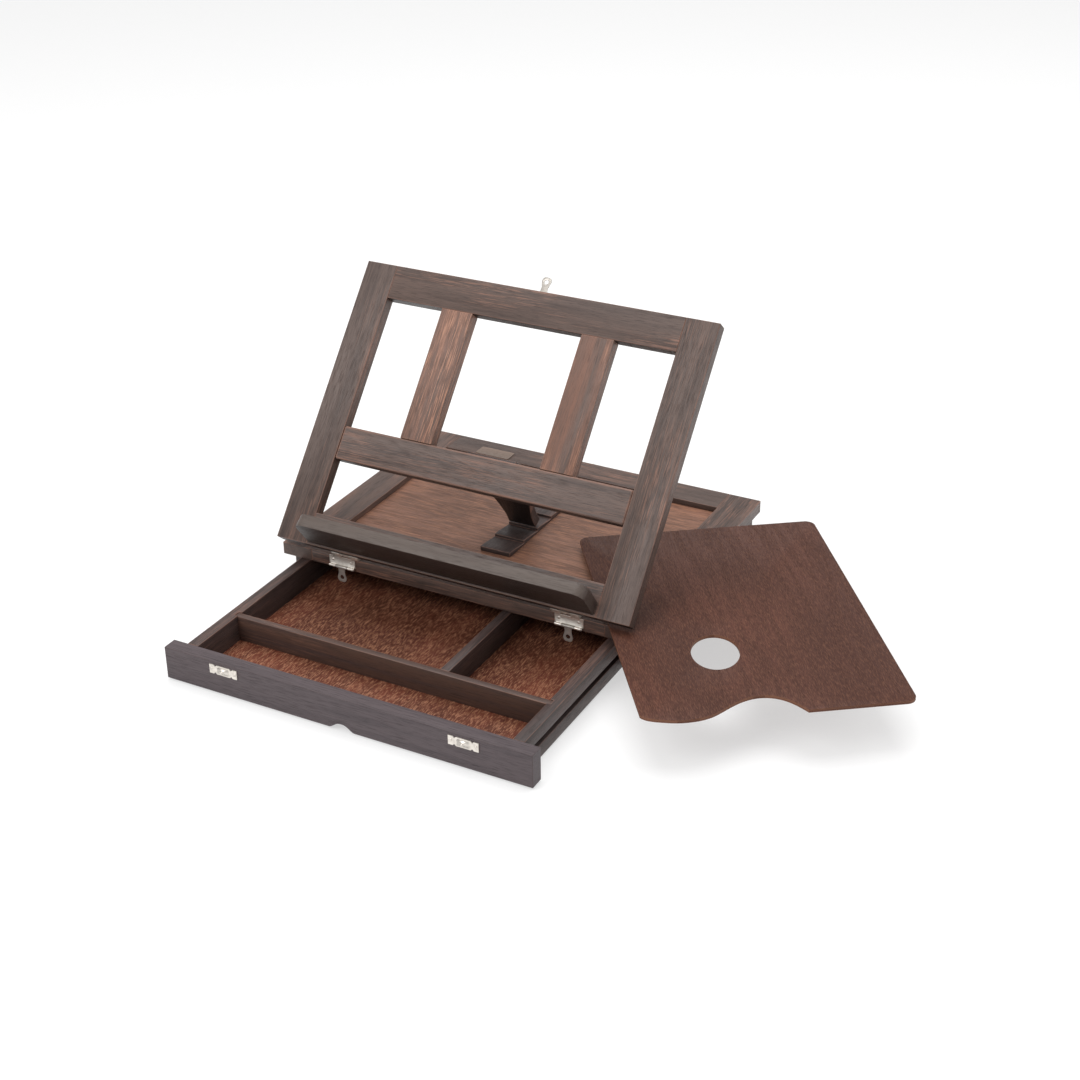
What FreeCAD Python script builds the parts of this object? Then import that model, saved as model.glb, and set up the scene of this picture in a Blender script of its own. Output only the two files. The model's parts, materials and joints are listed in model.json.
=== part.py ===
"""Tabletop sketch-box easel: a shallow case with a pull-out drawer, a folding
canvas frame held up by a ratchet prop, three hasps and a loose palette.

Working frame: x runs across, y runs from the case's front face to its back,
z is up from the case's top face. The last step moves everything so that the
origin is under the middle of the whole object, on the table.
"""
import FreeCAD, Part
import math
import os

V = FreeCAD.Vector
X_AXIS = V(1, 0, 0)

# Stock
STOCK = 11.5            # thickness of every frame member
RAIL = 30.0             # width of every frame member
PLY = 3.0               # plywood of the drawer floor and the top panel

# Case
CASE_W = 340.0
CASE_D = 260.0
PANEL_DROP = 5.5        # panel below the case's top face
GROOVE = 4.0            # how far the panel enters the rails
WALL_OUT = 167.5        # outer face of a side wall
WALL_T = 13.5
WALL_BOTTOM = -42.0     # the walls stand on the table
WALL_REAR = 248.0
REAR_WALL_T = 10.0

# Blank plaque on the rear rail
PLAQUE_X = -91.5
PLAQUE_Y = 238.3
PLAQUE_W = 35.0
PLAQUE_D = 14.6
PLAQUE_T = 0.8

# Drawer
PULL_OUT = 172.0        # how far out the drawer stands at rest
DRAWER_TOP = -11.8
DRAWER_H = 28.7
FRONT_T = 13.0
FRONT_PLAY = 0.3        # between the closed front and the side walls
GROOVE_DEPTH = 4.5
RUNNER_GAP = 0.6        # between a runner and the bottom of its groove
FRONT_HALF = 166.0
SIDE_OUT = 152.6
SIDE_T = 9.8
DRAWER_LEN = 234.0
DRAWER_BACK_T = 9.8
FLOOR_TOP = -35.0
DIVIDER_TOP = -12.6
CROSS_Y = -105.5        # front face of the cross divider
CROSS_T = 6.0
LONG_X = 50.0           # middle of the front-to-back divider
LONG_T = 8.0
HOUSING = 3.0           # dado in each drawer side
RUNNER_Z = -26.3        # middle of the side groove
GROOVE_H = 5.0
RUNNER_H = 4.3
NOTCH_W = 30.0
NOTCH_H = 5.3

# Canvas frame
FRAME_W = 334.0
FRAME_L = 256.0
FRAME_TILT = 49.8       # degrees above flat at rest
HINGE_Z = 3.2           # hinge axis above the case's top face
FRAME_LAP = 1.0         # frame stands this far in front of the axis when flat
FRAME_BACK = 2 * HINGE_Z
FRAME_FRONT = FRAME_BACK + STOCK
CROSS_LOW = 77.5        # lower edge of the crossbar, from the frame's lower edge
CROSS_HIGH = 107.5
MULLION_X = 66.7
BOTTOM_RAIL = 28.0

# Ledge
LEDGE_HALF = 135.0
LEDGE_T = 11.0
LEDGE_DEPTH = 33.5
LEDGE_RISE = 12.8       # degrees
LEDGE_LOW = 1.6
LEDGE_CORNER = 9.0

# Prop and ratchet
PROP_LEN = 102.0
PROP_T = 9.0
PROP_ROOT_W = 46.0
PROP_FOOT_W = 27.0
PROP_PIVOT_DROP = 1.2   # prop pivot behind the frame's back face
SCARF_END = 2.5         # thickness left at the prop's hinged end
SCARF_LEN = 16.0        # and how far along the prop it is full thickness again
PROP_RATIO = 2.17       # turns of the prop for one turn of the frame
TOOTH_PITCH = 25.7
TOOTH_START = 72.5
TOOTH_COUNT = 5
TOOTH_TOP = -1.2
TOOTH_DEPTH = 2.6
RATCHET_W = 29.0

# Butt hinges
HINGE_X = 105.0
HINGE_W = 26.0
LEAF_T = 1.0
KNUCKLE_R = 2.0
PIN_R = 0.9
PIN_PLAY = 0.05         # radial running clearance of every hinge pin
SEGMENT_GAP = 0.3

# Hasps
HASP_X = 108.5
HASP_W = 26.0
HASP_R = 1.3
HASP_PIN_R = 0.6
HASP_Z = -8.8
HASP_Y = -2.2
TONGUE_W = 9.0
TONGUE_T = 0.9
TONGUE_LEN = 14.0
TONGUE_HOLE = 9.6
TONGUE_HOLE_R = 2.0
TOP_TONGUE_LEN = 14.6
TOP_TONGUE_HOLE = 10.2
KEEPER_W = 26.0
KEEPER_H = 8.0
KEEPER_PIN_R = 0.9
PLATE_T = 0.8
BARREL_OUT = 2.3        # top hasp's barrel, from the frame's top edge
TOP_BARREL = V(0, FRAME_L - FRAME_LAP + BARREL_OUT, FRAME_BACK - 1.2)
KEEPER_REACH = 6.2      # from the top hasp's barrel back to its catch pin

# Palette
PALETTE_T = 2.8
PALETTE_GAP = 0.1
PALETTE_AT = V(226.0, 62.5, PALETTE_GAP)
PALETTE_TURN = -54.15
PALETTE_FAR = -143.0
PALETTE_NEAR = 148.0
PALETTE_HALF = 104.0
PALETTE_CORNER = 8.0

nodes = {}


def block(x0, x1, y0, y1, z0, z1):
    return Part.makeBox(x1 - x0, y1 - y0, z1 - z0, V(x0, y0, z0))


def rod_x(x0, x1, y, z, radius):
    return Part.makeCylinder(radius, x1 - x0, V(x0, y, z), X_AXIS)


def rod_y(x, y0, y1, z, radius):
    return Part.makeCylinder(radius, y1 - y0, V(x, y0, z), V(0, 1, 0))


def extrude(points, direction):
    """A prism on a closed outline of straight sides."""
    wire = Part.makePolygon(points + [points[0]])
    return Part.Face(wire).extrude(direction)


def rounded(shape, radius, direction):
    """Round the edges of a block that run along a direction."""
    edges = [e for e in shape.Edges if abs(abs(e.tangentAt(e.FirstParameter).dot(direction)) - 1) < 1e-6]
    return shape.makeFillet(radius, edges)


def eased(shape, radius=0.6):
    """Break every edge of a plain rectangular board."""
    return shape.makeFillet(radius, shape.Edges)


def joined(first, *others):
    return first.fuse(list(others)).removeSplitter()


def turned(shape, degrees, centre):
    copy = shape.copy()
    copy.rotate(centre, X_AXIS, degrees)
    return copy


def group(shapes):
    return Part.makeCompound(shapes)


# ---------------------------------------------------------------- case

def make_top_frame():
    half = CASE_W / 2
    groove = block(-half + RAIL - GROOVE, half - RAIL + GROOVE, RAIL - GROOVE, CASE_D - RAIL + GROOVE,
                   -PANEL_DROP - PLY, -PANEL_DROP)
    inner = half - RAIL
    nodes["case_left_rail"] = eased(block(-half, -inner, 0, CASE_D, -STOCK, 0)).cut(groove)
    nodes["case_right_rail"] = eased(block(inner, half, 0, CASE_D, -STOCK, 0)).cut(groove)
    nodes["case_front_rail"] = block(-inner, inner, 0, RAIL, -STOCK, 0).cut(groove)
    nodes["case_rear_rail"] = block(-inner, inner, CASE_D - RAIL, CASE_D, -STOCK, 0).cut(groove)
    nodes["top_panel"] = groove


def make_walls():
    wall_in = WALL_OUT - WALL_T
    front = FRONT_T + FRONT_PLAY
    for side, sign in (("left", -1), ("right", 1)):
        near, far = sorted((sign * wall_in, sign * WALL_OUT))
        nodes[f"case_{side}_wall"] = block(near, far, front, WALL_REAR, WALL_BOTTOM, -STOCK)
        tip, root = SIDE_OUT - GROOVE_DEPTH + RUNNER_GAP, wall_in
        near, far = sorted((sign * tip, sign * root))
        runner = block(near, far, front + 3, WALL_REAR - REAR_WALL_T - 1, RUNNER_Z - RUNNER_H / 2,
                       RUNNER_Z + RUNNER_H / 2)
        nodes[f"{side}_runner"] = runner
    rear_y = WALL_REAR - REAR_WALL_T
    nodes["case_rear_wall"] = block(-wall_in, wall_in, rear_y, WALL_REAR, WALL_BOTTOM, -STOCK)


def make_ratchet():
    half = RATCHET_W / 2
    floor = -PANEL_DROP
    end = TOOTH_START + TOOTH_PITCH * TOOTH_COUNT
    outline = [V(-half, TOOTH_START, floor)]
    for tooth in range(TOOTH_COUNT):
        front = TOOTH_START + TOOTH_PITCH * tooth
        outline += [V(-half, front, TOOTH_TOP), V(-half, front + TOOTH_PITCH * 0.3, TOOTH_TOP - 0.3),
                    V(-half, front + TOOTH_PITCH, TOOTH_TOP - TOOTH_DEPTH)]
    outline += [V(-half, end, floor)]
    nodes["ratchet_strip"] = extrude(outline, V(RATCHET_W, 0, 0))


def make_plaque():
    half_w, half_d = PLAQUE_W / 2, PLAQUE_D / 2
    plate = block(PLAQUE_X - half_w, PLAQUE_X + half_w, PLAQUE_Y - half_d, PLAQUE_Y + half_d, 0, PLAQUE_T)
    nodes["blank_plaque"] = rounded(plate, 1.5, V(0, 0, 1))


# ---------------------------------------------------------------- drawer

def notch_cutter(face_y):
    """The finger notch: an ogee, deepest in the middle."""
    low = DRAWER_TOP - DRAWER_H
    half = NOTCH_W / 2
    left = [V(-half, face_y, low), V(-half * 0.55, face_y, low + NOTCH_H * 0.32), V(0, face_y, low + NOTCH_H)]
    right = [V(0, face_y, low + NOTCH_H), V(half * 0.55, face_y, low + NOTCH_H * 0.32), V(half, face_y, low)]
    crown = Part.BSplineCurve()
    crown.interpolate([left[0], left[1], V(-half * 0.2, face_y, low + NOTCH_H * 0.93), left[2],
                       V(half * 0.2, face_y, low + NOTCH_H * 0.93), right[1], right[2]])
    below = [right[2], V(half, face_y, low - 2), V(-half, face_y, low - 2), left[0]]
    wire = Part.Wire([crown.toShape()] + Part.makePolygon(below).Edges)
    return Part.Face(wire).extrude(V(0, FRONT_T + 2, 0))


def make_drawer():
    front_y = -PULL_OUT
    inner_y = front_y + FRONT_T
    back_y = front_y + DRAWER_LEN
    low = DRAWER_TOP - DRAWER_H
    side_in = SIDE_OUT - SIDE_T
    front = eased(block(-FRONT_HALF, FRONT_HALF, front_y, inner_y, low, DRAWER_TOP))
    nodes["drawer_front"] = front.cut(notch_cutter(front_y - 1))
    housing = block(-side_in - HOUSING, side_in + HOUSING, CROSS_Y, CROSS_Y + CROSS_T, FLOOR_TOP, DIVIDER_TOP)
    slot = block(-side_in - HOUSING, side_in + HOUSING, CROSS_Y, CROSS_Y + CROSS_T, FLOOR_TOP, DRAWER_TOP)
    for side, sign in (("left", -1), ("right", 1)):
        near, far = sorted((sign * side_in, sign * SIDE_OUT))
        board = block(near, far, inner_y, back_y, low, DRAWER_TOP)
        near, far = sorted((sign * (SIDE_OUT - GROOVE_DEPTH), sign * (SIDE_OUT + 1)))
        groove = block(near, far, inner_y, back_y, RUNNER_Z - GROOVE_H / 2, RUNNER_Z + GROOVE_H / 2)
        nodes[f"drawer_{side}_side"] = board.cut(groove).cut(slot)
    nodes["drawer_back"] = block(-side_in, side_in, back_y - DRAWER_BACK_T, back_y, low, DRAWER_TOP)
    floor_end = back_y - DRAWER_BACK_T
    nodes["drawer_floor"] = block(-side_in, side_in, inner_y, floor_end, FLOOR_TOP - PLY, FLOOR_TOP)
    nodes["cross_divider"] = housing
    nodes["long_divider"] = block(LONG_X - LONG_T / 2, LONG_X + LONG_T / 2, CROSS_Y + CROSS_T,
                                  back_y - DRAWER_BACK_T, FLOOR_TOP, DIVIDER_TOP)


# ---------------------------------------------------------------- hasps

def hasp_pieces(mid_x, plate_low, plate_high):
    """Fixed plate, pin and tongue of a hasp on a front face at y = 0, tongue hanging."""
    plate = block(mid_x - HASP_W / 2, mid_x + HASP_W / 2, -PLATE_T, 0, plate_low, plate_high)
    for sign in (-1, 1):
        near, far = sorted((mid_x + sign * 6.2, mid_x + sign * 11.5))
        web = block(near, far, HASP_Y, -0.4, HASP_Z, HASP_Z + 1.2)
        ear = joined(rod_x(near, far, HASP_Y, HASP_Z, HASP_R), web)
        plate = joined(plate, ear)
    bore = rod_x(mid_x - HASP_W, mid_x + HASP_W, HASP_Y, HASP_Z, HASP_PIN_R + PIN_PLAY)
    plate = plate.cut(bore)
    pin = rod_x(mid_x - 11.8, mid_x + 11.8, HASP_Y, HASP_Z, HASP_PIN_R)
    pin = joined(pin, rod_x(mid_x - 12.4, mid_x - 11.7, HASP_Y, HASP_Z, 1.0),
                 rod_x(mid_x + 11.7, mid_x + 12.4, HASP_Y, HASP_Z, 1.0))
    return plate, pin


def tongue_shape(mid_x, y, z, length, hole_at):
    """A tongue that hangs from its knuckle: a narrow waist, then a rounded shield with a hole."""
    knuckle = rod_x(mid_x - 5.9, mid_x + 5.9, y, z, HASP_R)
    back = y - TONGUE_T / 2
    half = TONGUE_W / 2
    outline = [(-3.4, 0.0), (3.4, 0.0), (3.0, -5.0), (half, -hole_at - 0.6), (half * 0.86, -length + 1.4),
               (half * 0.5, -length), (-half * 0.5, -length), (-half * 0.86, -length + 1.4),
               (-half, -hole_at - 0.6), (-3.0, -5.0)]
    leaf = extrude([V(mid_x + u, back, z + w) for u, w in outline], V(0, TONGUE_T, 0))
    hole = rod_y(mid_x, back - 1, back + TONGUE_T + 1, z - hole_at, TONGUE_HOLE_R)
    bore = rod_x(mid_x - 7, mid_x + 7, y, z, HASP_PIN_R + PIN_PLAY)
    return joined(knuckle, leaf).cut(hole).cut(bore)


def keeper_shape(mid_x, face_y, mid_z, outward):
    """A small plate with notched ends, a raised middle and a catch pin that points outward."""
    half_w, half_h = KEEPER_W / 2, KEEPER_H / 2
    step = outward * 0.9
    outline = [(-half_w, -half_h), (-9.0, -half_h), (-7.6, -half_h + 1.4), (-6.2, -half_h), (6.2, -half_h),
               (7.6, -half_h + 1.4), (9.0, -half_h), (half_w, -half_h), (half_w, half_h), (9.0, half_h),
               (7.6, half_h - 1.4), (6.2, half_h), (-6.2, half_h), (-7.6, half_h - 1.4), (-9.0, half_h),
               (-half_w, half_h)]
    plate = extrude([V(mid_x + u, face_y, mid_z + w) for u, w in outline], V(0, step, 0))
    low, high = sorted((face_y, face_y + 1.8 * outward))
    raised = block(mid_x - 5, mid_x + 5, low, high, mid_z - 2.6, mid_z + 2.6)
    near, far = sorted((face_y, face_y + 4.2 * outward))
    catch = rod_y(mid_x, near, far, mid_z, KEEPER_PIN_R)
    return joined(plate, raised, catch)


def dome(x, y, z, direction, radius=1.3):
    """The low head of a small nail or screw, standing on a face."""
    return Part.makeCone(radius, radius * 0.55, 0.6, V(x, y, z), direction)


def make_front_hasps():
    plates, pins, nails = [], [], []
    for side, sign in (("left", -1), ("right", 1)):
        mid = sign * HASP_X
        plate, pin = hasp_pieces(mid, HASP_Z + 0.6, -0.3)
        plates.append(plate)
        pins.append(pin)
        for u in (-9.0, 9.0):
            nails.append(dome(mid + u, -PLATE_T, -3.6, V(0, -1, 0)))
        nodes[f"{side}_hasp_tongue"] = tongue_shape(mid, HASP_Y, HASP_Z, TONGUE_LEN, TONGUE_HOLE)
    nodes["front_hasp_plates"] = group(plates)
    nodes["front_hasp_pins"] = group(pins)
    nodes["front_hasp_nails"] = group(nails)


def make_drawer_keepers():
    keepers, nails = [], []
    mid_z = HASP_Z - TONGUE_HOLE
    for sign in (-1, 1):
        keepers.append(keeper_shape(sign * HASP_X, -PULL_OUT, mid_z, -1))
        for u in (-10.8, 10.8):
            nails.append(dome(sign * HASP_X + u, -PULL_OUT - 0.9, mid_z, V(0, -1, 0), 1.1))
    nodes["drawer_keepers"] = group(keepers)
    nodes["drawer_keeper_nails"] = group(nails)


def make_rear_keeper():
    drop = math.sqrt(TOP_TONGUE_HOLE ** 2 - KEEPER_REACH ** 2)
    catch_z = TOP_BARREL.z - drop
    plate = block(-11, 11, CASE_D, CASE_D + PLATE_T, -8.5, -0.4)
    catch = rod_y(0, CASE_D, TOP_BARREL.y + KEEPER_REACH + 1.2, catch_z, KEEPER_PIN_R)
    nodes["rear_keeper"] = joined(rounded(plate, 1.0, V(0, 1, 0)), catch)
    nodes["rear_keeper_nails"] = group([dome(u, CASE_D + PLATE_T, -5.6, V(0, 1, 0), 1.1) for u in (-8, 8)])


# ---------------------------------------------------------------- canvas frame, drawn flat

AXIS = V(0, 0, HINGE_Z)


def frame_bar(x0, x1, low, high, bevel=0.6):
    return eased(block(x0, x1, low - FRAME_LAP, high - FRAME_LAP, FRAME_BACK, FRAME_FRONT), bevel)


def ledge_shape():
    """A board with rounded front corners that leans a little up from the frame's face."""
    base_y = LEDGE_LOW - FRAME_LAP
    tip_z = FRAME_FRONT + LEDGE_DEPTH + 1
    board = block(-LEDGE_HALF, LEDGE_HALF, base_y, base_y + LEDGE_T, FRAME_FRONT - 6, tip_z)
    corner_edges = []
    for edge in board.Edges:
        middle = edge.CenterOfMass
        along_y = abs(abs(edge.tangentAt(edge.FirstParameter).y) - 1) < 1e-6
        if along_y and middle.z > FRAME_FRONT + LEDGE_DEPTH:
            corner_edges.append(edge)
    board = board.makeFillet(LEDGE_CORNER, corner_edges)
    board.rotate(V(0, base_y, FRAME_FRONT), X_AXIS, -LEDGE_RISE)
    below = block(-CASE_W, CASE_W, base_y - 20, base_y + LEDGE_T + 20, FRAME_FRONT - 30, FRAME_FRONT)
    return board.cut(below)


def make_canvas_frame():
    half = FRAME_W / 2
    inner = half - RAIL
    top_low = FRAME_L - RAIL
    flat = {
        "frame_left_stile": frame_bar(-half, -inner, 0, FRAME_L),
        "frame_right_stile": frame_bar(inner, half, 0, FRAME_L),
        "frame_top_rail": frame_bar(-inner, inner, top_low, FRAME_L),
        "frame_crossbar": frame_bar(-inner, inner, CROSS_LOW, CROSS_HIGH, 2.0),
        "frame_bottom_rail": frame_bar(-inner, inner, 0, BOTTOM_RAIL),
        "canvas_ledge": ledge_shape(),
    }
    for side, sign in (("left", -1), ("right", 1)):
        mid = sign * MULLION_X
        flat[f"{side}_mullion"] = frame_bar(mid - RAIL / 2, mid + RAIL / 2, CROSS_HIGH, top_low)
    edge_y = FRAME_L - FRAME_LAP
    nails = [dome(u, edge_y + PLATE_T, FRAME_BACK + 5.4, V(0, 1, 0), 1.1) for u in (-8, 8)]
    plate = block(-11, 11, edge_y, edge_y + PLATE_T, TOP_BARREL.z, FRAME_BACK + 8.6)
    for sign in (-1, 1):
        near, far = sorted((sign * 6.2, sign * 10.5))
        ear = joined(rod_x(near, far, TOP_BARREL.y, TOP_BARREL.z, HASP_R),
                     block(near, far, edge_y + 0.4, TOP_BARREL.y, TOP_BARREL.z, TOP_BARREL.z + 1.3))
        plate = joined(plate, ear)
    plate = plate.cut(rod_x(-20, 20, TOP_BARREL.y, TOP_BARREL.z, HASP_PIN_R + PIN_PLAY))
    flat["top_hasp_plate"] = plate
    flat["top_hasp_pin"] = rod_x(-11.0, 11.0, TOP_BARREL.y, TOP_BARREL.z, HASP_PIN_R)
    flat["top_hasp_nails"] = group(nails)
    tongue = tongue_shape(0, TOP_BARREL.y, TOP_BARREL.z, TOP_TONGUE_LEN, TOP_TONGUE_HOLE)
    flat["top_hasp_tongue"] = turned(tongue, 90, TOP_BARREL)
    for name, shape in flat.items():
        nodes[name] = turned(shape, FRAME_TILT, AXIS)


def make_butt_hinges():
    third = HINGE_W / 3
    case_leaves, frame_leaves, pins, case_screws, frame_screws = [], [], [], [], []
    for sign in (-1, 1):
        mid = sign * HINGE_X
        low, high = mid - HINGE_W / 2, mid + HINGE_W / 2
        bore = rod_x(low - 1, high + 1, 0, HINGE_Z, PIN_R + PIN_PLAY)
        case_leaf = block(low, high, 2.8, 17.0, 0, LEAF_T)
        for start in (low, high - third + SEGMENT_GAP):
            end = start + third - SEGMENT_GAP
            web = block(start, end, -0.9, 2.9, 0, HINGE_Z)
            case_leaf = joined(case_leaf, web, rod_x(start, end, 0, HINGE_Z, KNUCKLE_R))
        case_leaves.append(case_leaf.cut(bore))
        frame_leaf = block(low, high, 2.8, 17.0, FRAME_BACK - LEAF_T, FRAME_BACK)
        start, end = low + third + SEGMENT_GAP / 2, high - third - SEGMENT_GAP / 2
        web = block(start, end, -0.9, 2.9, HINGE_Z, FRAME_BACK)
        frame_leaf = joined(frame_leaf, web, rod_x(start, end, 0, HINGE_Z, KNUCKLE_R)).cut(bore)
        frame_leaves.append(turned(frame_leaf, FRAME_TILT, AXIS))
        pins.append(rod_x(low + 0.2, high - 0.2, 0, HINGE_Z, PIN_R))
        for u in (-8.5, 8.5):
            case_screws.append(dome(mid + u, 11.0, LEAF_T, V(0, 0, 1)))
            screw = dome(mid + u, 11.0, FRAME_BACK - LEAF_T, V(0, 0, -1))
            frame_screws.append(turned(screw, FRAME_TILT, AXIS))
    nodes["case_hinge_leaves"] = group(case_leaves)
    nodes["frame_hinge_leaves"] = group(frame_leaves)
    nodes["frame_hinge_pins"] = group(pins)
    nodes["case_hinge_screws"] = group(case_screws)
    nodes["frame_hinge_screws"] = group(frame_screws)


# ---------------------------------------------------------------- prop, drawn folded in the middle window

PROP_PIVOT = V(0, CROSS_HIGH - FRAME_LAP + 0.8, FRAME_BACK - PROP_PIVOT_DROP)
PROP_AT_REST = -PROP_RATIO * FRAME_TILT


def to_rest(shape, swings):
    """Turn a piece drawn in the folded frame to where it stands at rest."""
    if swings:
        shape = turned(shape, PROP_AT_REST, PROP_PIVOT)
    return turned(shape, FRAME_TILT, AXIS)


def prop_board():
    root_y = PROP_PIVOT.y + 0.3
    foot_y = PROP_PIVOT.y + PROP_LEN
    root, foot = PROP_ROOT_W / 2, PROP_FOOT_W / 2
    back = FRAME_BACK

    def flank(sign):
        curve = Part.BSplineCurve()
        curve.interpolate([V(sign * root, root_y + 42, back), V(sign * (foot + 5.5), root_y + 60, back),
                           V(sign * (foot + 0.8), root_y + 80, back), V(sign * foot, foot_y, back)])
        return curve.toShape()

    left, right = flank(-1), flank(1)
    sides = [Part.makeLine(V(-root, root_y, back), V(root, root_y, back)),
             Part.makeLine(V(root, root_y, back), V(root, root_y + 42, back)), right,
             Part.makeLine(V(foot, foot_y, back), V(-foot, foot_y, back)), left,
             Part.makeLine(V(-root, root_y + 42, back), V(-root, root_y, back))]
    wire = Part.Wire(Part.__sortEdges__(sides))
    board = Part.Face(wire).extrude(V(0, 0, PROP_T))
    scarf = extrude([V(-root - 1, root_y, back + SCARF_END), V(-root - 1, root_y + SCARF_LEN, back + PROP_T),
                     V(-root - 1, root_y, back + PROP_T)], V(2 * root + 2, 0, 0))
    return board.cut(scarf)


def make_prop():
    nodes["prop"] = to_rest(prop_board(), True)
    knuckle = 1.1
    pin_r = 0.6
    y, z = PROP_PIVOT.y, PROP_PIVOT.z
    half = 15.0
    bore = rod_x(-half - 1, half + 1, y, z, pin_r + PIN_PLAY)
    frame_leaf = block(-half, half, y - 11, y - 1.3, FRAME_BACK - 0.8, FRAME_BACK)
    for start in (-half, half - 9.7):
        arm = block(start, start + 9.7, y - 1.4, y, FRAME_BACK - 0.8, FRAME_BACK - 0.2)
        frame_leaf = joined(frame_leaf, arm, rod_x(start, start + 9.7, y, z, knuckle))
    arm = block(-5, 5, y, y + 1.4, FRAME_BACK - 0.8, FRAME_BACK - 0.2)
    prop_leaf = joined(block(-half, half, y + 1.3, y + 11, FRAME_BACK - 0.8, FRAME_BACK), arm,
                       rod_x(-5, 5, y, z, knuckle))
    nodes["prop_hinge_frame_leaf"] = to_rest(frame_leaf.cut(bore), False)
    nodes["prop_hinge_prop_leaf"] = to_rest(prop_leaf.cut(bore), True)
    nodes["prop_hinge_pin"] = to_rest(rod_x(-half + 0.2, half - 0.2, y, z, pin_r), False)


# ---------------------------------------------------------------- palette

def make_palette():
    near, far, half, r = PALETTE_NEAR, PALETTE_FAR, PALETTE_HALF, PALETTE_CORNER
    slab = rounded(block(far, near, -half, half, 0, PALETTE_T), r, V(0, 0, 1))
    edge = [(near - 16, -half - 1.5), (near - 8.6, -half + 3), (near - 3.7, -90), (near - 0.9, -78),
            (near - 0.7, -65.5), (near - 3.9, -52.4), (near - 11.5, -40), (near - 20.5, -25.5),
            (near - 24.2, -12.5), (near - 22.6, -1), (near - 17, 8), (near - 8, 15.5), (near + 2, 21.5)]
    notch = Part.BSplineCurve()
    notch.interpolate([V(u, v, -1) for u, v in edge])
    rest = Part.makePolygon([V(near + 2, 21.5, -1), V(near + 9, 21.5, -1), V(near + 9, -half - 1.5, -1),
                             V(near - 16, -half - 1.5, -1)])
    slab = slab.cut(Part.Face(Part.Wire([notch.toShape()] + rest.Edges)).extrude(V(0, 0, PALETTE_T + 2)))
    tilt = math.radians(-11)
    ellipse = Part.Ellipse(V(25.5 * math.cos(tilt), 25.5 * math.sin(tilt), 0),
                           V(-19 * math.sin(tilt), 19 * math.cos(tilt), 0), V(0, 0, 0))
    hole = Part.Face(Part.Wire(ellipse.toShape())).extrude(V(0, 0, PALETTE_T + 2))
    hole.translate(V(58.6, -29.6, -1))
    slab = slab.cut(hole)
    slab.rotate(V(0, 0, 0), V(0, 0, 1), PALETTE_TURN)
    slab.translate(PALETTE_AT)
    nodes["palette"] = slab


# ---------------------------------------------------------------- write

def write_parts():
    os.makedirs("parts", exist_ok=True)
    box = group(list(nodes.values())).BoundBox
    shift = V(-(box.XMin + box.XMax) / 2, -(box.YMin + box.YMax) / 2, -box.ZMin)
    for name, shape in nodes.items():
        shape.translate(shift)
        if not shape.isValid():
            raise ValueError("not a valid solid: " + name)
        shape.exportStep(f"parts/{name}.step")
    print("nodes", len(nodes), "shift", tuple(round(c, 4) for c in shift))
    pivot = PROP_PIVOT
    turn = FreeCAD.Rotation(X_AXIS, FRAME_TILT)
    for label, point in (("prop pivot", turn.multVec(pivot - AXIS) + AXIS + shift),
                         ("top hasp", turn.multVec(TOP_BARREL - AXIS) + AXIS + shift),
                         ("frame axis", AXIS + shift), ("front hasp", V(0, HASP_Y, HASP_Z) + shift)):
        print(label, tuple(round(c, 4) for c in point))


make_top_frame()
make_walls()
make_ratchet()
make_plaque()
make_drawer()
make_front_hasps()
make_drawer_keepers()
make_rear_keeper()
make_canvas_frame()
make_butt_hinges()
make_prop()
make_palette()
write_parts()
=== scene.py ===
"""A tabletop sketch-box easel: stained boards, plywood, plated hardware and a plain studio around them.

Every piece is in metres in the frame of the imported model, x to the right, y to the back, z up.
"""
import json
import math

import bmesh
import bpy
from bpy.props import FloatProperty, FloatVectorProperty, IntProperty, PointerProperty
from mathutils import Matrix, Vector

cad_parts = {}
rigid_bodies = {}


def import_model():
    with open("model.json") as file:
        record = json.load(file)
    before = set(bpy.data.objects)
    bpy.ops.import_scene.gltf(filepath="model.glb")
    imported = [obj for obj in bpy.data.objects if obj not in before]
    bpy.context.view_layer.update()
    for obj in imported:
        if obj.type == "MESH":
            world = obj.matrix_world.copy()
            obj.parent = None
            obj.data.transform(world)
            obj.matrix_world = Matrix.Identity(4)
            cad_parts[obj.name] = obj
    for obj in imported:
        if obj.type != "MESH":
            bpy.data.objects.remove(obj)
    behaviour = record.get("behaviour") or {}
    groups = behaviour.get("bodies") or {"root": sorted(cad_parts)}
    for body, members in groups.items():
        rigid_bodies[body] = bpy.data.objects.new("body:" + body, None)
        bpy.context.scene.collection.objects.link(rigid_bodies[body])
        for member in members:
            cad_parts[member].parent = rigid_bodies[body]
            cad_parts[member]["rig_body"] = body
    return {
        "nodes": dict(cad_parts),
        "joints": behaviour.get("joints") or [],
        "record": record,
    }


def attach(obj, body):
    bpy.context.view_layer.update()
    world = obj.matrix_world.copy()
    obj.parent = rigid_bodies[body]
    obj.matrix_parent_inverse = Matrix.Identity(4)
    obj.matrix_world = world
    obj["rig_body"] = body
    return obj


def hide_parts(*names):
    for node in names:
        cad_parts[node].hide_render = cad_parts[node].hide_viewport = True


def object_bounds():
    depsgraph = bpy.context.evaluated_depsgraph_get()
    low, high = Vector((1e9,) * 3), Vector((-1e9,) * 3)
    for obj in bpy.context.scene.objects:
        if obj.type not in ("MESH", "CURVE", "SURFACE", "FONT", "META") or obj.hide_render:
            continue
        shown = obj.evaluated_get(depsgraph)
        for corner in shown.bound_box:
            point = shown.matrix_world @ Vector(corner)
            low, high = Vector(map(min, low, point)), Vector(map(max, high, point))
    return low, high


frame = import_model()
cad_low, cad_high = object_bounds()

bl_info = {
    "name": "Sketch Box Easel",
    "version": (1, 0, 0),
    "blender": (4, 5, 0),
    "location": "View3D > Sidebar > Easel",
    "description": "Dresses a tabletop sketch-box easel in stained timber, plywood and plated hardware",
    "category": "Object",
}

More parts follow.
